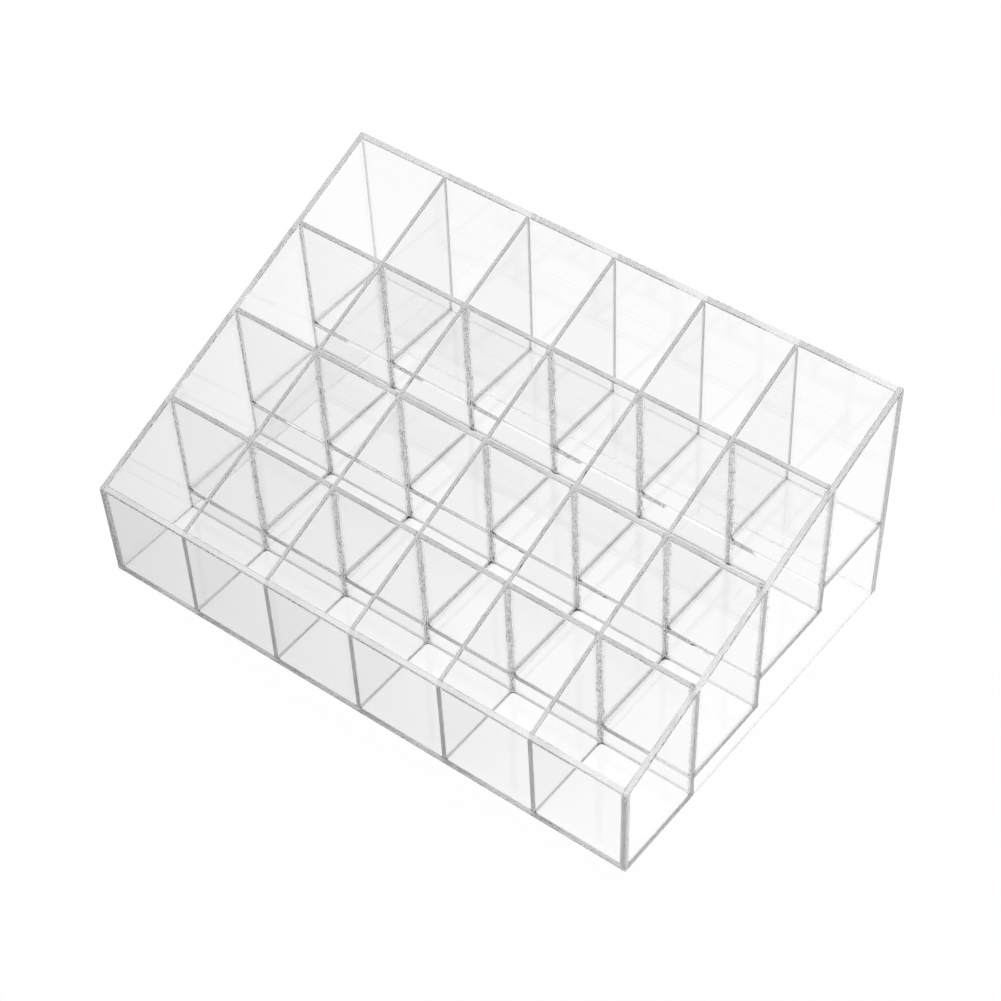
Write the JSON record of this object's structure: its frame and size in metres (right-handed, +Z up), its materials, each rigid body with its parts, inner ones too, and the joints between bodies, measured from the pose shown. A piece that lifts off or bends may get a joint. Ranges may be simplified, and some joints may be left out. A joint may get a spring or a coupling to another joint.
{
  "type": "stepped vanity organizer",
  "caption": "Clear acrylic stepped stand with rows of square compartments that climb towards the back, for upright lipsticks and small cosmetics on a vanity.",
  "frame": {"origin": "on the table under the middle of the stand's outline", "axes": "+X along the front to the right, +Y from the low front to the tall back, +Z up"},
  "size_m": [0.1456, 0.0958, 0.063],
  "materials": {
    "wall_sheet": "clear colourless acrylic sheet, polished edges",
    "floor_sheet": "clear colourless acrylic sheet, cut edges bonded all round",
    "riser_sheet": "clear colourless acrylic sheet, polished top edge",
    "divider_sheet": "clear colourless thin acrylic sheet, polished top edge"
  },
  "bodies": {
    "root": {"side_panel_left": "wall_sheet", "side_panel_right": "wall_sheet", "front_panel": "wall_sheet", "back_panel": "wall_sheet", "floor_row_1": "floor_sheet", "floor_row_2": "floor_sheet", "floor_row_3": "floor_sheet", "floor_row_4": "floor_sheet", "cross_riser_1": "riser_sheet", "cross_riser_2": "riser_sheet", "cross_riser_3": "riser_sheet", "column_divider_1": "divider_sheet", "column_divider_2": "divider_sheet", "column_divider_3": "divider_sheet", "column_divider_4": "divider_sheet", "column_divider_5": "divider_sheet"}
  },
  "joints": []
}
